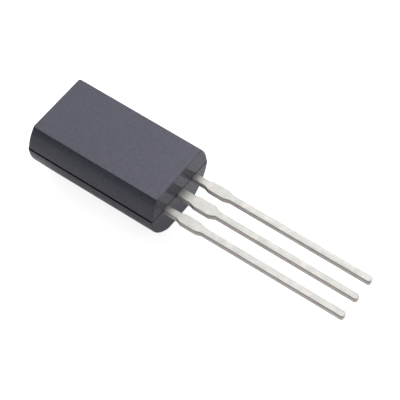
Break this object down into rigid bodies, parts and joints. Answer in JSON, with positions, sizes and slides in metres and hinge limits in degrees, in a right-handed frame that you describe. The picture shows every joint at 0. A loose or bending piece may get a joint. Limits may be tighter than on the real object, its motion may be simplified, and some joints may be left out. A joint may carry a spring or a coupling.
{
  "type": "voltage regulator",
  "caption": "Small linear voltage regulator: long D-shaped moulded package, flat in front, with stamped leads in a row at one end.",
  "frame": {"origin": "centre of the housing's flat back, which is what the part rests on", "axes": "+Z out of the flat front face, +X along the leads from housing to tips, Y across the leads"},
  "size_m": [0.0192, 0.005, 0.0039],
  "materials": {
    "epoxy": "matte black moulding compound with a fine even grain",
    "tinned_lead": "matte tin plating over stamped copper alloy",
    "die_attach": "dull silver-filled epoxy or solder",
    "silicon": "polished dark grey silicon",
    "gold_wire": "bright drawn gold bond wire"
  },
  "bodies": {
    "root": {"moulded_body": "epoxy", "ground_lead": "tinned_lead", "output_lead": "tinned_lead", "input_lead": "tinned_lead", "die_attach": "die_attach", "regulator_die": "silicon", "output_wire": "gold_wire", "input_wire": "gold_wire", "ground_wire": "gold_wire"}
  },
  "joints": []
}
